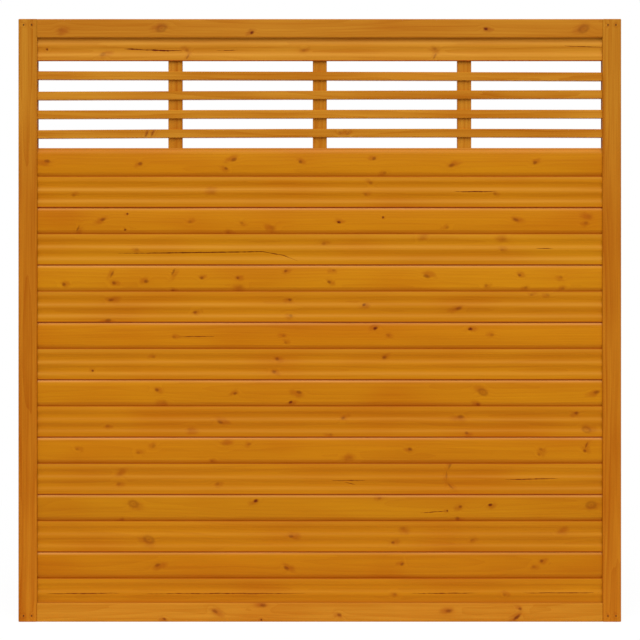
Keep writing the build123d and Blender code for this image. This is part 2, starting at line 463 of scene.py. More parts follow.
class Board:
    """A tongue-and-groove board: where the frame puts it, and its section."""

    def __init__(self, node, sizes):
        self.node = node
        self.sizes = sizes
        self.low, self.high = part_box(node)
        self.middle = (self.low + self.high) / 2
        self.fluted_front = node not in FLAT_BOARDS
        self.half_step = sizes.face_step / 2
        if node == LOWEST_BOARD:
            self.line = self.high.z - sizes.cover_width - self.half_step - sizes.tongue_height
        else:
            self.line = self.low.z + self.half_step

    def flute_depth_at(self, rise):
        """How deep the fluted face is hollowed at a height above the board's line."""
        sizes = self.sizes
        deep, ease = sizes.flute_depth, sizes.flute_ease
        hollow = sizes.flute_width**2 / (8 * deep) + deep / 2
        reach = math.sqrt(deep * (2 * (hollow + ease) - deep))
        turn = reach * hollow / (hollow + ease)
        depth = 0.0
        for side in (-1, 1):
            away = abs(rise - (sizes.cover_width + side * sizes.flute_spacing) / 2)
            if away < turn:
                depth += deep - hollow + math.sqrt(hollow**2 - away**2)
            elif away < reach:
                depth += ease - math.sqrt(ease**2 - (reach - away) ** 2)
        return depth

    def front_at(self, rise):
        """Depth of the front face at a height above the board's line."""
        front = -self.sizes.thickness / 2
        return front + self.flute_depth_at(rise) if self.fluted_front else front

    def fluted_face(self):
        """The fluted face from the top down, as depth behind the board's middle and height."""
        sizes = self.sizes
        face = sizes.thickness / 2
        foot = -self.half_step
        head = sizes.cover_width + self.half_step
        lip_turns = [math.pi / 2 * step / sizes.lip_steps for step in range(sizes.lip_steps + 1)]
        lip = [
            (sizes.lip_round * (1 - math.sin(turn)), sizes.lip_round * (1 - math.cos(turn)))
            for turn in lip_turns
        ]
        points = [(face - back, head - down) for down, back in reversed(lip)]
        count = sizes.face_steps
        inner_head = head - sizes.lip_round
        inner_foot = foot + sizes.lip_round
        for step in range(1, count):
            rise = inner_head + (inner_foot - inner_head) * step / count
            points.append((face - self.flute_depth_at(rise), rise))
        points += [(face - back, foot + up) for up, back in lip]
        return points

    def flat_face(self):
        """The chamfered face from the foot up; its upper chamfer is worn round."""
        sizes = self.sizes
        face = -sizes.thickness / 2
        foot = self.half_step
        head = sizes.cover_width - self.half_step
        slope = sizes.arris * sizes.chamfer_depth / sizes.chamfer_height
        lower = foot + sizes.chamfer_height
        upper = head - sizes.chamfer_height
        points = [
            (face + sizes.chamfer_depth, foot),
            (face + slope, lower - sizes.arris),
            (face, lower + sizes.arris),
            (face, (lower + upper) / 2),
            (face, upper),
        ]
        for step in range(1, sizes.wear_steps + 1):
            share = step / sizes.wear_steps
            back = sizes.chamfer_depth * share**sizes.wear
            points.append((face + back, upper + sizes.chamfer_height * share))
        return points

    def section(self):
        """The closed section in the panel's own depth and height."""
        sizes = self.sizes
        tongue = sizes.tongue_thickness / 2
        slot = tongue + sizes.tongue_play
        slot_head = self.half_step + sizes.tongue_height + sizes.tongue_play
        foot = -self.half_step
        head = sizes.cover_width + self.half_step
        points = self.fluted_face()
        points += [(slot, foot), (slot, slot_head), (-slot, slot_head), (-slot, self.half_step)]
        points += self.flat_face()
        points += [
            (-tongue, sizes.cover_width - self.half_step),
            (-tongue, head + sizes.tongue_height),
            (tongue, head + sizes.tongue_height),
            (tongue, head),
        ]
        facing = -1 if self.fluted_front else 1
        placed = [
            (facing * back, min(max(self.line + rise, self.low.z), self.high.z))
            for back, rise in points
        ]
        return [point for place, point in enumerate(placed) if point != placed[place - 1]]


def poly_curve(name, runs):
    """A curve object of straight runs: each is a list of points, their radii, and whether it closes."""
    curve = bpy.data.curves.new(name, "CURVE")
    curve.dimensions = "3D"
    for points, radii, closed in runs:
        spline = curve.splines.new("POLY")
        spline.points.add(len(points) - 1)
        for target, point, radius in zip(spline.points, points, radii):
            target.co = (*point, 1.0)
            target.radius = radius
        spline.use_cyclic_u = closed
    holder = bpy.data.objects.new(name, curve)
    bpy.context.scene.collection.objects.link(holder)
    return holder


def section_curve(board):
    """A board's section, drawn flat for the sweep."""
    points = [(-back, -rise, 0.0) for back, rise in board.section()]
    return poly_curve(f"{board.node}_section", [(points, [1.0] * len(points), True)])


def check_curves(board):
    """Middle lines of a board's drying checks, laid on its front face, with half the width as radius."""
    runs = []
    for check in CHECKS.get(board.node, []):
        points, radii = [], []
        for start, end in zip(check, check[1:]):
            for step in range(CHECK_STEPS + 1):
                along, up, width = Vector(start).lerp(Vector(end), step / CHECK_STEPS) * MM
                height = board.middle.z + up
                points.append((along, board.front_at(height - board.line), height))
                radii.append(width / 2)
        runs.append((points, radii, False))
    return poly_curve(f"{board.node}_checks", runs)


def sockets_of(tree, inputs):
    """Give a tree its named inputs and one geometry output."""
    for name, kind in inputs.items():
        tree.interface.new_socket(name, in_out="INPUT", socket_type=kind)
    tree.interface.new_socket("Geometry", in_out="OUTPUT", socket_type="NodeSocketGeometry")


def board_tree():
    """Nodes that sweep a section along a board, make it a little uneven, and split it with checks."""
    tree = bpy.data.node_groups.new("tongue_and_groove_board", "GeometryNodeTree")
    sockets_of(
        tree,
        {
            "Section": "NodeSocketObject",
            "Checks": "NodeSocketObject",
            "Start": "NodeSocketVector",
            "End": "NodeSocketVector",
            "Step": "NodeSocketFloat",
            "Unevenness": "NodeSocketFloat",
            "Wander": "NodeSocketFloat",
            "Seed": "NodeSocketFloat",
            "Timber": "NodeSocketMaterial",
            "Check wall": "NodeSocketMaterial",
        },
    )
    sheet = NodeSheet(tree)
    given = sheet.add("NodeGroupInput")

    def shape(kind, settings=None, sockets=None, output=0):
        """One of the geometry nodes."""
        return sheet.add(f"GeometryNode{kind}", settings, sockets, output)

    def object_shape(name):
        """The curve of an object that the tree is given."""
        return shape("ObjectInfo", None, {"Object": given.out(name)}, "Geometry")

    def shaken(geometry, waves, amount):
        """Points of a shape moved a little by a smooth noise."""
        place = sheet.vector("MULTIPLY", shape("InputPosition"), waves)
        noise = sheet.noise(place, given.out("Seed"), detail=SMOOTH, output="Color")
        stray = sheet.vector("MULTIPLY", sheet.vector("SUBTRACT", noise, NOISE_CENTRE), amount)
        return shape("SetPosition", None, {"Geometry": geometry, "Offset": stray})

    def stepped(curve, step):
        """A curve cut into steps of one length."""
        return shape("ResampleCurve", {"mode": "LENGTH"}, {"Curve": curve, "Length": step})

    def swept(path, profile, scale=1.0):
        """A closed solid swept along a path."""
        sockets = {"Curve": path, "Profile Curve": profile, "Scale": scale, "Fill Caps": True}
        return shape("CurveToMesh", None, sockets)

    line = shape("CurvePrimitiveLine", None, {"Start": given.out("Start"), "End": given.out("End")})
    spine = stepped(line, given.out("Step"))
    stray = given.out("Unevenness")
    uneven = sheet.add("ShaderNodeCombineXYZ", None, {"Y": stray, "Z": stray})
    timber = shaken(swept(spine, object_shape("Section")), BOARD_WAVES, uneven)

    paths = stepped(object_shape("Checks"), given.out("Step") * CHECK_STRIP)
    wander = sheet.add("ShaderNodeCombineXYZ", None, {"Z": given.out("Wander")})
    share = shape("SplineParameter")
    # One in the middle of a check and none at its ends
    taper = (4 * share * (1 - share)) ** CHECK_TAPER
    place = sheet.vector("MULTIPLY", shape("InputPosition"), TORN_WAVES)
    torn = sheet.noise(place, given.out("Seed")).ramp(*TORN_SPAN, *TORN_WIDTHS)
    width = shape("InputRadius") * taper * torn
    wedge = shape(
        "CurvePrimitiveQuadrilateral",
        {"mode": "KITE"},
        {"Width": BLADE_WIDTH, "Bottom Height": BLADE_REACH, "Top Height": BLADE_REACH},
    )
    blade = swept(shaken(paths, CHECK_WAVES, wander), wedge, width)
    marked = shape("SetMaterial", None, {"Geometry": blade, "Material": given.out("Check wall")})
    split = shape(
        "MeshBoolean",
        {"operation": "DIFFERENCE", "solver": "MANIFOLD"},
        {"Mesh 1": timber, "Mesh 2": marked},
    )

    smooth = shape("SetShadeSmooth", {"domain": "FACE"}, {"Geometry": split, "Shade Smooth": True})
    sharp = shape("InputMeshEdgeAngle").above(CREASE)
    creased = shape(
        "SetShadeSmooth",
        {"domain": "EDGE"},
        {"Geometry": smooth, "Selection": sharp, "Shade Smooth": False},
    )
    real = shape("RealizeInstances", None, {"Geometry": creased})
    wall = shape("MaterialSelection", None, {"Material": given.out("Check wall")})
    outside = sheet.add("FunctionNodeBooleanMath", {"operation": "NOT"}, {0: wall})
    finished = shape(
        "SetMaterial", None, {"Geometry": real, "Selection": outside, "Material": given.out("Timber")}
    )
    sheet.add("NodeGroupOutput", None, {"Geometry": finished})
    return tree


def grow(name, tree, values):
    """Run a tree with these inputs and return its result as a plain mesh object."""
    piece = bpy.data.objects.new(name, bpy.data.meshes.new(name))
    bpy.context.scene.collection.objects.link(piece)
    modifier = piece.modifiers.new(tree.name, "NODES")
    modifier.node_group = tree
    for socket in tree.interface.items_tree:
        if socket.in_out == "INPUT":
            modifier[socket.identifier] = values[socket.name]
    depsgraph = bpy.context.evaluated_depsgraph_get()
    mesh = bpy.data.meshes.new_from_object(piece.evaluated_get(depsgraph), depsgraph=depsgraph)
    piece.modifiers.clear()
    piece.data = mesh
    mesh.name = name
    return piece


class Pine:
    """One piece of knotty pine: its own place in the log, its knots and its stain."""

    # Patterns in the grain: waves a metre along it and across it, and how finely they break up
    PATTERNS = {
        "drift": (0.9, 7.0, SMOOTH),
        "ripple": (5.0, 40.0, PLAIN),
        "fibre": (6.0, 420.0, FINE),
        "cloud": (2.2, 13.0, PLAIN),
        "warmth": (3.2, 9.0, SMOOTH),
        "streak": (1.8, 95.0, PLAIN),
    }

    # Ragged edges of the knots and of the smears beside them: waves a metre, and how far the edges
    # stray along the grain and across it, in metres
    KNOT_RAGGED = (190.0, 0.006, 0.004)
    SMEAR_RAGGED = (55.0, 0.022, 0.014)

    # What chance gives a knot: its size, its lean, and the place of its smear in widths and heights
    KNOT_SIZES = (0.9, 1.15)
    KNOT_LEANS = (-0.5, 0.5)
    SMEAR_SIDES = (-0.4, 0.4)
    SMEAR_DROPS = (-0.5, 0.5)

    # Size of a smear in widths and heights of its knot, and half the length of a knot through the timber
    SMEAR_SPREAD = (2.4, 1.8)
    KNOT_REACH = 0.2

    # Where a mark begins and where it is full, in half widths from its middle or its ring
    CORE_SPAN = (1.3, 0.3)
    EYE_RING_SPAN = (0.9, 0.0)
    EYE_HEART_SPAN = (0.6, 0.0)
    SMEAR_SPAN = (1.4, 0.2)
    BEND_SPAN = (4.5, 0.0)

    # Where the heart of the log lies, behind the piece and across it, in metres
    HEART_DEPTHS = (0.045, 0.09)
    HEART_SIDES = (-0.03, 0.03)

    # How far the rings drift, ripple and bend round a knot, in metres, and how late dense wood sets in
    RING_DRIFT = 0.035
    RING_RIPPLE = 0.004
    RING_BEND = 0.004
    LATEWOOD = 2.0

    # Span of the noise over which timber turns resinous, the red it adds, and the share of red that the
    # head of a stile keeps
    WARM_SPAN = (0.42, 0.75)
    WARM_RISE = 0.5
    STILE_HEAD_RED = 0.15

    # Span of the noise over which the worn stain and the painted highlights break up, and the shares of
    # them it leaves
    WEAR_AND_HIGHLIGHT_SPAN = (0.3, 0.7)
    WEAR_AND_HIGHLIGHT_SHARES = (0.3, 1.0)

    # Sawn ends: how squarely they face along the grain, how dark they are, and how much rougher
    END_SPAN = (0.6, 0.9)
    END_STAIN = 0.45
    END_ROUGHNESS = 0.2

    # Relief of the rings, fibres and knots, its strength and depth, and the roughness of the fibres
    RING_RELIEF = 0.5
    FIBRE_RELIEF = 0.5
    KNOT_RELIEF = 0.6
    RELIEF_STRENGTH = 0.35
    RELIEF_DEPTH = 0.0005
    FIBRE_ROUGHNESS = 0.16

    def __init__(self, node, stain):
        self.node = node
        self.stain = stain
        low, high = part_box(node)
        self.middle = (low + high) / 2
        self.upright = high.z - low.z > high.x - low.x
        self.seed = float(sorted(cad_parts).index(node))
        self.chance = random.Random(node)
        self.tone, self.redness = TONES[node]
        self.material, self.sheet = new_material(f"{node}_pine")
        coords = self.sheet.add("ShaderNodeTexCoord", output="Object")
        turn = (0.0, -math.pi / 2, 0.0) if self.upright else (0.0, 0.0, 0.0)
        self.lie = self.sheet.add(
            "ShaderNodeMapping",
            {"vector_type": "TEXTURE"},
            {"Vector": coords, "Location": self.middle, "Rotation": turn},
        )
        parts = self.sheet.add("ShaderNodeSeparateXYZ", None, {0: self.lie})
        self.along, self.depth, self.across = (parts.out(axis) for axis in "XYZ")

    def pattern(self, name):
        """One of the patterns, a noise drawn out along the grain."""
        along, across, detail = self.PATTERNS[name]
        stretched = self.sheet.vector("MULTIPLY", self.lie, (along, across, across))
        return self.sheet.noise(stretched, self.seed + along, detail=detail)

    def ragged(self, waves, along, across):
        """The piece's coordinates shaken by a noise, further along the grain than across it."""
        rough = self.sheet.noise(self.lie, self.seed, waves, output="Color")
        centred = self.sheet.vector("SUBTRACT", rough, NOISE_CENTRE)
        return self.sheet.vector("MULTIPLY_ADD", centred, (along, 0.0, across), self.lie)

    def knot_distance(self, vector, along, across, width, height, tilt):
        """Distance from a knot's middle, one at half its width."""
        place = self.sheet.add(
            "ShaderNodeMapping",
            {"vector_type": "TEXTURE"},
            {
                "Vector": vector,
                "Location": (along * MM, 0.0, across * MM),
                "Rotation": (0.0, tilt, 0.0),
                "Scale": (width * MM / 2, self.KNOT_REACH, height * MM / 2),
            },
        )
        return self.sheet.vector("LENGTH", place, output="Value")

    def knots(self):
        """How dark the cores of the knots are, how brown the timber beside them, how the grain bends."""
        marks = {"core": None, "smear": None, "bend": None}

        def keep(name, mark):
            marks[name] = mark if marks[name] is None else marks[name].greater(mark)

        if self.node in KNOTS:
            fine = self.ragged(*self.KNOT_RAGGED)
            coarse = self.ragged(*self.SMEAR_RAGGED)
        wider, taller = self.SMEAR_SPREAD
        for kind, places in KNOTS.get(self.node, {}).items():
            width, height, core, smear = KNOT_KINDS[kind]
            for along, across in places:
                size = self.chance.uniform(*self.KNOT_SIZES)
                tilt = KNOT_TILTS.get(kind, self.chance.uniform(*self.KNOT_LEANS))
                away = self.knot_distance(fine, along, across, width * size, height * size, tilt)
                if kind == "eye":
                    keep("core", abs(away - 1).ramp(*self.EYE_RING_SPAN, 0.0, core))
                    keep("core", away.ramp(*self.EYE_HEART_SPAN, 0.0, core))
                else:
                    keep("core", away.ramp(*self.CORE_SPAN, 0.0, core))
                aside = along + self.chance.choice(self.SMEAR_SIDES) * width
                below = across + self.chance.uniform(*self.SMEAR_DROPS) * height
                beside = self.knot_distance(coarse, aside, below, width * wider, height * taller, tilt)
                keep("smear", beside.ramp(*self.SMEAR_SPAN, 0.0, smear))
                keep("bend", away.ramp(*self.BEND_SPAN))
        return marks["core"], marks["smear"], marks["bend"]

    def rings(self, bend):
        """Latewood of the growth rings, which flow round the knots."""
        heart = (0.0, -self.chance.uniform(*self.HEART_DEPTHS), self.chance.uniform(*self.HEART_SIDES))
        from_heart = self.sheet.add(
            "ShaderNodeMapping",
            {"vector_type": "POINT"},
            {"Vector": self.lie, "Location": heart, "Scale": (0.0, 1.0, 1.0)},
        )
        radius = self.sheet.vector("LENGTH", from_heart, output="Value")
        drift = self.pattern("drift") * self.RING_DRIFT
        radius = radius + drift + self.pattern("ripple") * self.RING_RIPPLE
        if bend is not None:
            radius = radius + bend * self.RING_BEND
        return (radius / self.stain.ring_width).fraction() ** self.LATEWOOD

    def end_grain(self):
        """One on the sawn ends."""
        normal = self.sheet.add("ShaderNodeTexCoord", output="Normal")
        parts = self.sheet.add("ShaderNodeSeparateXYZ", None, {0: normal})
        return abs(parts.out("Z" if self.upright else "X")).ramp(*self.END_SPAN)

    def finish(self, joint_stain_and_shade=None, rubbed_and_highlit=None, flute_highlight=None):
        """Close the material; stain and painted shade gather in a board's joints, and painted highlights,
        partly worn stain, lie on its upper edges.
        """
        stain, sheet = self.stain, self.sheet
        core, smear, bend = self.knots()
        late = self.rings(bend)
        fibre, cloud, warmth, streak = map(self.pattern, ("fibre", "cloud", "warmth", "streak"))
        if self.node in FLAT_BOARDS + FLUTED_BOARDS:
            spring, figure = stain.light, 1.0
        elif self.node in RAILS + (HEADER,):
            spring, figure = stain.pale, stain.figure
        else:
            spring, figure = stain.pale, stain.bold_figure
        depth = (late - 1 / (self.LATEWOOD + 1)) * stain.grain + (fibre - NOISE_MIDDLE) * stain.fibre
        depth = depth + (cloud - NOISE_MIDDLE) * stain.cloud + (streak - NOISE_MIDDLE) * stain.streak
        depth = depth * figure + stain.depth
        colour = sheet.blend(depth, opaque(spring, self.tone), opaque(stain.deep, self.tone))
        red = warmth.ramp(*self.WARM_SPAN, self.redness, min(1.0, self.redness + self.WARM_RISE))
        # A stile is made lighter and less red towards its head
        if self.node in STILES:
            red = red * self.along.ramp(*stain.fade, 1.0, self.STILE_HEAD_RED)
        colour = sheet.blend(red, colour, opaque(stain.red), "MULTIPLY")
        if core is not None:
            colour = sheet.blend(smear, colour, opaque(stain.smear, self.tone))
            colour = sheet.blend(core, colour, opaque(stain.knot))
        # Painted highlights: the paler upper chamfers, partly worn stain, and the upward-facing flanks of
        # the flutes; worn breaks both up along the grain
        if rubbed_and_highlit is not None:
            worn = streak.ramp(*self.WEAR_AND_HIGHLIGHT_SPAN, *self.WEAR_AND_HIGHLIGHT_SHARES)
            colour = sheet.blend(rubbed_and_highlit * worn, colour, opaque(stain.rubbed_and_highlit))
            colour = sheet.blend(flute_highlight * worn, colour, opaque(stain.flute_highlight))
        # Stain in the joints together with painted shade on the down-facing chamfers, under the lips and
        # above the bottom rail
        if joint_stain_and_shade is not None:
            colour = sheet.blend(joint_stain_and_shade, colour, opaque(stain.joint_stain_and_shade))
        ends = self.end_grain()
        colour = sheet.blend(ends * self.END_STAIN, colour, opaque(stain.joint_stain_and_shade))
        relief = late * self.RING_RELIEF + fibre * self.FIBRE_RELIEF
        if core is not None:
            relief = relief + core * self.KNOT_RELIEF
        tilt = sheet.bump(relief, self.RELIEF_STRENGTH, self.RELIEF_DEPTH)
        roughness = (fibre - NOISE_MIDDLE) * self.FIBRE_ROUGHNESS + ends * self.END_ROUGHNESS
        coat(sheet, colour, roughness + stain.roughness, stain.gloss, tilt)
        return self.material


# Stain gathered in the joints together with painted shade, where a lower chamfer faces down and a lip hangs
# over: how much on a lower chamfer, from the joint up, how much on the head of a board and of painted shade
# above the bottom rail, and how far it reaches from a foot and a head, in radii of the lip
CHAMFER_STAIN_AND_SHADE = (0.42, 0.08)
HEAD_STAIN_AND_SHADE = 0.7
PAINTED_RAIL_SHADE = 0.3
FOOT_REACH = 2.6
HEAD_REACH = 1.5

# Worn stain and painted highlight: how bare and lit the upper chamfers, which face up, are painted, and
# those of the top board, over how much of their height; and how strong the painted highlight is on the
# upward-facing flanks of the flutes at the foot of the panel and at its head
BARE_AND_HIGHLIGHT = 0.95
TOP_BARE_AND_HIGHLIGHT = 0.25
BARE_AND_HIGHLIGHT_SHARE = 0.85
FLUTE_HIGHLIGHT = (0.1, 0.5)


def edge_stain_and_painted_light(pine, board):
    """Stain and painted shade in the joints of a board, worn stain and a painted highlight on its upper
    chamfer, and a painted highlight on its flutes.
    """
    sizes = board.sizes
    half_tongue = sizes.tongue_thickness / 2
    front_flat, back_flat = (0.0, 1.0) if board.fluted_front else (1.0, 0.0)
    flat_side = pine.depth.ramp(-half_tongue, half_tongue, front_flat, back_flat, "LINEAR")
    shift = flat_side * (2 * board.half_step) - board.half_step
    foot = board.line - board.middle.z
    above_foot = pine.across - shift - foot
    below_head = (foot + sizes.cover_width) - shift - pine.across
    edge = sizes.chamfer_height + sizes.arris
    # Joint stain and painted shade: darkest where a lower chamfer, facing down, meets the joint, under the
    # lip at the foot of a fluted face, and below a board's head under the lip above; stain holds this mask
    in_chamfer = above_foot.ramp(sizes.chamfer_height - sizes.arris, edge, 1.0, 0.0)
    chamfer = above_foot.ramp(0.0, sizes.chamfer_height, *CHAMFER_STAIN_AND_SHADE, "LINEAR") * in_chamfer
    lip = above_foot.ramp(0.0, sizes.lip_round * FOOT_REACH, 1.0, 0.0)
    stain = flat_side * chamfer + (1 - flat_side) * lip
    if board.node != TOP_BOARD:
        stain = stain.greater(below_head.ramp(0.0, sizes.lip_round * HEAD_REACH, HEAD_STAIN_AND_SHADE, 0.0))
    # Painted shade on the lowest board just above the bottom rail, which stands out in front of it
    if board.node == LOWEST_BOARD:
        above_rail = pine.across + (board.middle.z - RAIL_HEAD)
        stain = stain.greater(above_rail.ramp(0.0, sizes.chamfer_height, PAINTED_RAIL_SHADE, 0.0))
    # The upper chamfer faces up and is painted paler: partly worn stain, partly painted highlight
    bare = TOP_BARE_AND_HIGHLIGHT if board.node == TOP_BOARD else BARE_AND_HIGHLIGHT
    rubbed_and_highlit = flat_side * below_head.ramp(sizes.chamfer_height * BARE_AND_HIGHLIGHT_SHARE, 0.0, 0.0, bare)
    # Painted highlight on the upward-facing flanks of the flutes; thin is its strength, which grows towards
    # the head of the panel
    shoulder = foot + sizes.cover_width / 2 + sizes.flute_width / 4
    shoulder_reach = sizes.flute_spacing / 3
    from_middle = abs(pine.across - shoulder)
    from_shoulder = from_middle.lesser(abs(from_middle - sizes.flute_spacing))
    least, most = FLUTE_HIGHLIGHT
    thin = least + (most - least) * board.middle.z / CAD_BOX[1].z
    flute_highlight = (1 - flat_side) * from_shoulder.ramp(shoulder_reach, 0.0, 0.0, thin)
    return stain, rubbed_and_highlit, flute_highlight


# Torn fibres in a check: waves a metre and seed, the shades of its sides, its roughness and what the
# fibres add to it, its shine, and the strength and depth of its relief
WALL_WAVES = (20.0, 300.0, 300.0)
WALL_SEED = 1.0
WALL_SHADES = (0.7, 1.3)
WALL_ROUGHNESS = 0.7
WALL_ROUGHER = 0.2
WALL_GLOSS = 0.1
WALL_RELIEF = (0.4, 0.0005)


def check_wall_material(stain):
    """The raw sides of a drying check, painted dark: old stain and dust, and painted shade in the narrow
    crack.
    """
    material, sheet = new_material("check_wall")
    coords = sheet.add("ShaderNodeTexCoord", output="Object")
    fibre = sheet.noise(sheet.vector("MULTIPLY", coords, WALL_WAVES), WALL_SEED, detail=FINE)
    colour = sheet.blend(fibre, *(opaque(stain.check, shade) for shade in WALL_SHADES))
    roughness = fibre * WALL_ROUGHER + WALL_ROUGHNESS
    coat(sheet, colour, roughness, WALL_GLOSS, sheet.bump(fibre, *WALL_RELIEF))
    return material


# Spots of tarnish on a nail and the marks of its drawing: waves a metre and seeds, the span of the noise
# that is tarnished, what tarnish takes from the metal, what both add to its roughness, and its relief
SPOT_WAVES = 900.0
SPOT_SEED = 2.0
DRAWN_WAVES = (2500.0, 120.0, 2500.0)
DRAWN_SEED = 3.0
TARNISH_SPAN = (0.4, 0.7)
TARNISH_DULLER = 0.25
TARNISH_ROUGHER = 0.3
DRAWN_ROUGHER = 0.1
NAIL_RELIEF = (0.3, 0.0001)


def nail_material(steel):
    """Drawn wire nails, dulled and tinted by the stain brushed over them."""
    material, sheet = new_material("nail_steel")
    coords = sheet.add("ShaderNodeTexCoord", output="Object")
    spots = sheet.noise(coords, SPOT_SEED, SPOT_WAVES, FINE)
    drawn = sheet.noise(sheet.vector("MULTIPLY", coords, DRAWN_WAVES), DRAWN_SEED)
    tarnish = spots.ramp(*TARNISH_SPAN)
    colour = sheet.blend(tarnish, opaque(steel.bright), opaque(steel.tarnish))
    roughness = tarnish * TARNISH_ROUGHER + drawn * DRAWN_ROUGHER + steel.roughness
    tilt = sheet.bump(drawn + spots, *NAIL_RELIEF)
    coat(sheet, colour, roughness, steel.gloss, tilt, steel.metal - tarnish * TARNISH_DULLER)
    return material


def dress(node, material):
    """Give a piece of the frame its finish."""
    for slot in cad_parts[node].material_slots:
        slot.material = material


def Length(name, description, default):
    """A size that a user can change."""
    return bpy.props.FloatProperty(name=name, description=description, default=default, unit="LENGTH")


def Share(name, description, default):
    """A share of one that a user can change."""
    return bpy.props.FloatProperty(name=name, description=description, default=default, subtype="FACTOR")


def Times(name, description, default, least=0.0):
    """A multiple that a user can change."""
    return bpy.props.FloatProperty(name=name, description=description, default=default, min=least)


def Count(name, description, default, least):
    """A number of strips that a user can change."""
    return bpy.props.IntProperty(name=name, description=description, default=default, min=least)


def Colour(name, description, default):
    """A colour that a user can change."""
    return bpy.props.FloatVectorProperty(
        name=name, description=description, default=default, subtype="COLOR"
    )


class FenceBoardSizes(bpy.types.PropertyGroup):
    """Section of the boards; the same section is turned about for every second board."""

    cover_width: Length(
        "Cover width", "Height that one board adds to the panel", NEXT_FOOT.z - PLAIN_FOOT.z
    )
    thickness: Length("Thickness", "Thickness of a board", PLAIN_HEAD.y - PLAIN_FOOT.y)
    face_step: Length("Face step", "How much taller the fluted face is than the cover width", 0.007)
    chamfer_height: Length("Chamfer height", "Height of the chamfers of the flat face", 0.012)
    chamfer_depth: Length("Chamfer depth", "Depth of the chamfers of the flat face", 0.0045)
    arris: Length("Arris", "How far the corner of a chamfer is eased", 0.0005)
    wear: Times("Wear", "How round the upper chamfers are worn; one leaves them flat", 1.5, 1.0)
    wear_steps: Count("Wear steps", "Number of strips across a worn chamfer", 6, 1)
    flute_width: Length("Flute width", "Width of a hollow in the fluted face", 0.026)
    flute_depth: Length("Flute depth", "Depth of a hollow in the fluted face", 0.0025)
    flute_spacing: Length("Flute spacing", "Distance between the two hollows", 0.0346)
    flute_ease: Length("Flute ease", "Radius of the ridges beside the hollows", 0.018)
    face_steps: Count("Face steps", "Number of strips across the fluted face", 48, 8)
    lip_round: Length("Lip round", "Radius of the edges of the fluted face", 0.0015)
    lip_steps: Count("Lip steps", "Number of strips round a lip", 4, 2)
    tongue_thickness: Length("Tongue thickness", "Thickness of the tongue", 0.0055)
    tongue_height: Length("Tongue height", "Height of the tongue", 0.005)
    tongue_play: Length("Tongue play", "Room round the tongue in its groove", 0.0002)
    strip_length: Length("Strip length", "Length of the strips that a board is swept in", 0.015)
    unevenness: Length("Unevenness", "How far the machined faces stray", 0.0006)
    check_wander: Length("Check wander", "How far a drying check strays from a straight line", 0.004)


class FenceStain(bpy.types.PropertyGroup):
    """Colours of the stained pine."""

    light: Colour("Light stain", "Stain on the pale springwood of the boards", (0.62, 0.25, 0.004))
    pale: Colour(
        "Pale stain", "Stain on the springwood of the frame, the header and the lattice", (0.6, 0.25, 0.018)
    )
    deep: Colour("Deep stain", "Stain on the dense latewood", (0.44, 0.13, 0.001))
    red: Colour("Red tint", "Tint of the stain where the timber is resinous", (0.88, 0.68, 0.3))
    # Heights between which a stile is made lighter and less red towards its head
    fade: bpy.props.FloatVectorProperty(
        name="Fade",
        description="Heights above the middle of a stile between which its red fades",
        size=2,
        unit="LENGTH",
        default=(0.3, 0.85),
    )
    smear: Colour("Smear", "Timber beside a knot", (0.3, 0.032, 0.0004))
    knot: Colour("Knot", "Middle of a knot", (0.13, 0.008, 0.0001))
    # Colour of the stain in the joints and on sawn ends, used also for the painted shade in the joints
    joint_stain_and_shade: Colour("Joint", "Stain gathered in the joints and on sawn ends", (0.37, 0.045, 0.0002))
    # Paler colour of the upper chamfers: worn stain and painted highlight
    rubbed_and_highlit: Colour("Rubbed", "Stain rubbed thin on the upper chamfers", (0.92, 0.4, 0.11))
    # Colour of the painted highlight on the upward-facing flanks of the flutes
    flute_highlight: Colour("Thinned", "Stain thinned on the upper shoulders of the flutes", (0.8, 0.38, 0.04))
    # The inside of a check is painted dark: old stain and dust, and painted shade
    check: Colour("Check", "Inside of a drying check", (0.16, 0.016, 0.0003))
    ring_width: Length("Ring width", "Growth of the tree in a year", 0.0042)
    grain: Share("Grain", "How far the growth rings show", 0.16)
    fibre: Share("Fibre", "How far the fine fibres show", 0.5)
    streak: Share("Streak", "How far the broad streaks along the grain show", 0.45)
    figure: Times("Figure", "How much bolder the grain of the rails and the header shows", 1.6)
    bold_figure: Times("Bold figure", "How much bolder the grain of the stiles and the lattice shows", 2.5)
    depth: Share("Depth", "How far the stain leans to its deep colour", 0.37)
    cloud: Share("Cloud", "How unevenly the timber took the stain", 0.7)
    roughness: Share("Roughness", "Roughness of the dry stain", 0.42)
    gloss: Share("Gloss", "Strength of the shine", 0.07)


class FenceNails(bpy.types.PropertyGroup):
    """Colours and shine of the nails."""

    bright: Colour("Bright steel", "Bare wire", (0.05, 0.022, 0.009))
    tarnish: Colour("Tarnish", "Dulled wire", (0.03, 0.01, 0.003))
    metal: Share("Metal", "How metallic the bare wire is", 0.3)
    roughness: Share("Roughness", "Roughness of the bare wire", 0.5)
    gloss: Share("Gloss", "Strength of the shine", 0.1)


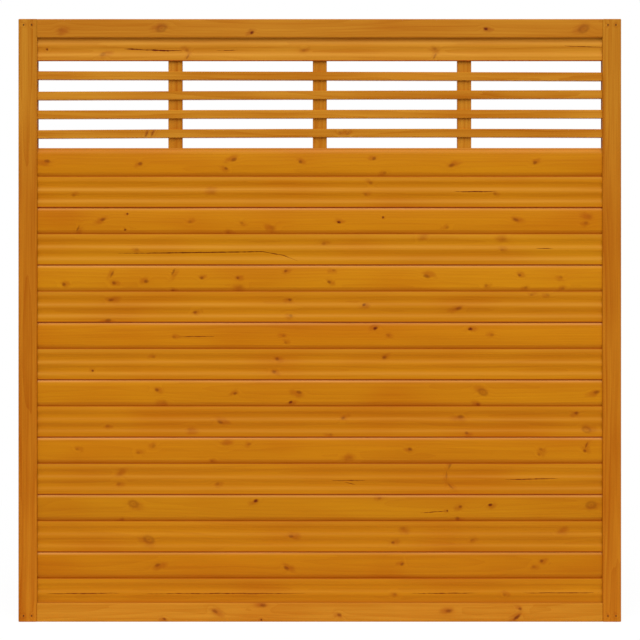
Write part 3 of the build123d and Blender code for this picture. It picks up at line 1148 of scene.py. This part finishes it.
class FenceStage(bpy.types.PropertyGroup):
    """Camera, light and floor."""

    camera_distance: Length("Camera distance", "From the camera to the front of the panel", 5.2)
    camera_side: Length("Camera side", "How far right of the middle the camera stands", 0.0006)
    camera_height: Length("Camera height", "Height of the camera", 0.9012)
    view_width: Length("View width", "Width of the view at the front of the panel", 1.9101)
    light_distance: Length("Light distance", "From the light to the panel", 16.0)
    key_elevation: bpy.props.FloatProperty(
        name="Key elevation",
        description="Height of the main light as an angle",
        default=math.radians(48),
        subtype="ANGLE",
    )
    light_size: Length("Light size", "Width of the light", 15.0)
    key_level: Share(
        "Key level", "Share of white that the main light gives an upright white surface", 0.62
    )
    ambient: Share("Ambient", "Level of the light from all around", 0.34)
    floor_front: Length("Floor front", "How far the floor reaches in front of the panel", 1.7)
    floor_size: Length("Floor size", "Side of the floor", 5.0)
    floor_shade: Colour("Floor", "Colour of the floor in the light", (0.95, 0.95, 0.95))
    floor_level: Times("Floor level", "How bright the lit floor shows, where one is white", 1.03)
    floor_glow: Share("Floor glow", "Share of the floor that stays white in a shadow", 0.9)


class FENCE_OT_boards(bpy.types.Operator):
    """Sweep the boards to their section, split them with checks and stain them"""

    bl_idname = "fence.boards"
    bl_label = "Make boards"

    def execute(self, context):
        sizes, stain = context.scene.fence_boards, context.scene.fence_stain
        tree = board_tree()
        wall = check_wall_material(stain)
        for node in FLAT_BOARDS + FLUTED_BOARDS + [HEADER]:
            board = Board(node, sizes)
            pine = Pine(node, stain)
            timber = pine.finish(*edge_stain_and_painted_light(pine, board))
            section = section_curve(board)
            checks = check_curves(board)
            piece = grow(
                f"{node}_timber",
                tree,
                {
                    "Section": section,
                    "Checks": checks,
                    "Start": (board.low.x, 0.0, 0.0),
                    "End": (board.high.x, 0.0, 0.0),
                    "Step": sizes.strip_length,
                    "Unevenness": sizes.unevenness,
                    "Wander": sizes.check_wander,
                    "Seed": pine.seed,
                    "Timber": timber,
                    "Check wall": wall,
                },
            )
            for helper in (section, checks):
                bpy.data.curves.remove(helper.data)
            if not piece.data.polygons:
                raise RuntimeError(f"{node} came out empty")
            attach(piece, BODY)
            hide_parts(node)
        return {"FINISHED"}


class FENCE_OT_frame(bpy.types.Operator):
    """Stain the stiles and rails"""

    bl_idname = "fence.frame"
    bl_label = "Finish frame"

    def execute(self, context):
        for node in STILES + RAILS:
            dress(node, Pine(node, context.scene.fence_stain).finish())
        return {"FINISHED"}


class FENCE_OT_lattice(bpy.types.Operator):
    """Stain the slats and uprights"""

    bl_idname = "fence.lattice"
    bl_label = "Finish lattice"

    def execute(self, context):
        for node in LATTICE:
            dress(node, Pine(node, context.scene.fence_stain).finish())
        return {"FINISHED"}


class FENCE_OT_nails(bpy.types.Operator):
    """Finish the nails"""

    bl_idname = "fence.nails"
    bl_label = "Finish nails"

    def execute(self, context):
        steel = nail_material(context.scene.fence_nails)
        for node in NAILS:
            dress(node, steel)
        return {"FINISHED"}


def seen_or_mirrored(sheet):
    """One for what the camera sees, straight or in a shiny or clear surface."""
    path = sheet.add("ShaderNodeLightPath")
    seen = path.out("Is Camera Ray")
    return seen.greater(path.out("Is Glossy Ray")).greater(path.out("Is Transmission Ray"))


def set_world(stage):
    """White behind the panel, and an even soft light from all around."""
    world = bpy.data.worlds.new("studio")
    world.use_nodes = True
    sheet = NodeSheet(world.node_tree)
    strength = seen_or_mirrored(sheet) * (1 - stage.ambient) + stage.ambient
    white = sheet.add("ShaderNodeBackground", None, {"Color": opaque(WHITE), "Strength": strength})
    sheet.add("ShaderNodeOutputWorld", None, {"Surface": white})
    bpy.context.scene.world = world


def set_floor(stage):
    """A plain pale floor that keeps the panel's shadow."""
    half = stage.floor_size / 2
    front = -stage.floor_front
    back = front + stage.floor_size
    mesh = bpy.data.meshes.new("floor")
    corners = [(-half, front, 0.0), (half, front, 0.0), (half, back, 0.0), (-half, back, 0.0)]
    mesh.from_pydata(corners, [], [(0, 1, 2, 3)])
    floor = bpy.data.objects.new("floor", mesh)
    bpy.context.scene.collection.objects.link(floor)
    material, sheet = new_material("floor_paint")
    seen = seen_or_mirrored(sheet)
    paint = sheet.blend(seen, opaque(stage.floor_shade), opaque(WHITE))
    lit = sheet.add("ShaderNodeBsdfDiffuse", None, {"Color": paint})
    # The floor gets more of the main light than an upright surface does
    light_on_floor = stage.key_level * math.tan(stage.key_elevation) + stage.ambient
    level = (stage.floor_level - (1 - stage.floor_glow) * light_on_floor) / stage.floor_glow
    glow = sheet.add("ShaderNodeEmission", None, {"Color": opaque(WHITE), "Strength": level})
    share = seen * stage.floor_glow
    close_material(sheet, sheet.add("ShaderNodeMixShader", None, {0: share, 1: lit, 2: glow}))
    mesh.materials.append(material)


def set_light(stage):
    """A wide soft light in front of the panel and above it."""
    target = Vector((0.0, 0.0, stage.camera_height))
    back = Vector((0.0, -math.cos(stage.key_elevation), math.sin(stage.key_elevation)))
    lamp = bpy.data.lights.new("key", "AREA")
    lamp.size = stage.light_size
    # Power at which an upright white surface shows the key level
    lamp.energy = stage.key_level * (math.pi * stage.light_distance) ** 2 / back.xy.length
    light = bpy.data.objects.new("key", lamp)
    light.location = target + back * stage.light_distance
    light.rotation_euler = back.to_track_quat("Z", "Y").to_euler()
    light.visible_camera = False
    bpy.context.scene.collection.objects.link(light)


def set_camera(stage):
    """The photograph's view: level, straight on to the panel."""
    data = bpy.data.cameras.new("camera")
    data.lens = data.sensor_width * stage.camera_distance / stage.view_width
    camera = bpy.data.objects.new("camera", data)
    camera.location = (stage.camera_side, PANEL_FRONT - stage.camera_distance, stage.camera_height)
    camera.rotation_euler = (math.pi / 2, 0.0, 0.0)
    bpy.context.scene.collection.objects.link(camera)
    bpy.context.scene.camera = camera


class FENCE_OT_stage(bpy.types.Operator):
    """Set the background, floor, light and camera"""

    bl_idname = "fence.stage"
    bl_label = "Set stage"

    def execute(self, context):
        stage = context.scene.fence_stage
        set_world(stage)
        set_floor(stage)
        set_light(stage)
        set_camera(stage)
        context.scene.view_settings.view_transform = "Standard"
        return {"FINISHED"}


class FENCE_PT_panel(bpy.types.Panel):
    """Sizes, colours and steps of the fence panel"""

    bl_idname = "FENCE_PT_panel"
    bl_label = "Fence panel"
    bl_space_type = "VIEW_3D"
    bl_region_type = "UI"
    bl_category = "Fence Panel"

    def draw(self, context):
        for group in SETTINGS:
            settings = getattr(context.scene, group)
            column = self.layout.column()
            for name in settings.__annotations__:
                column.prop(settings, name)
        for operator in OPERATORS:
            self.layout.operator(operator.bl_idname)


OPERATORS = (FENCE_OT_stage, FENCE_OT_boards, FENCE_OT_frame, FENCE_OT_lattice, FENCE_OT_nails)
SETTINGS = {
    "fence_boards": FenceBoardSizes,
    "fence_stain": FenceStain,
    "fence_nails": FenceNails,
    "fence_stage": FenceStage,
}


def register():
    for group in (*SETTINGS.values(), *OPERATORS, FENCE_PT_panel):
        bpy.utils.register_class(group)
    for name, group in SETTINGS.items():
        setattr(bpy.types.Scene, name, bpy.props.PointerProperty(type=group))


def unregister():
    for name in SETTINGS:
        delattr(bpy.types.Scene, name)
    for group in (FENCE_PT_panel, *reversed(OPERATORS), *SETTINGS.values()):
        bpy.utils.unregister_class(group)


def main():
    register()
    bpy.ops.fence.stage()
    bpy.ops.fence.boards()
    bpy.ops.fence.frame()
    bpy.ops.fence.lattice()
    bpy.ops.fence.nails()


if __name__ == "__main__":
    main()
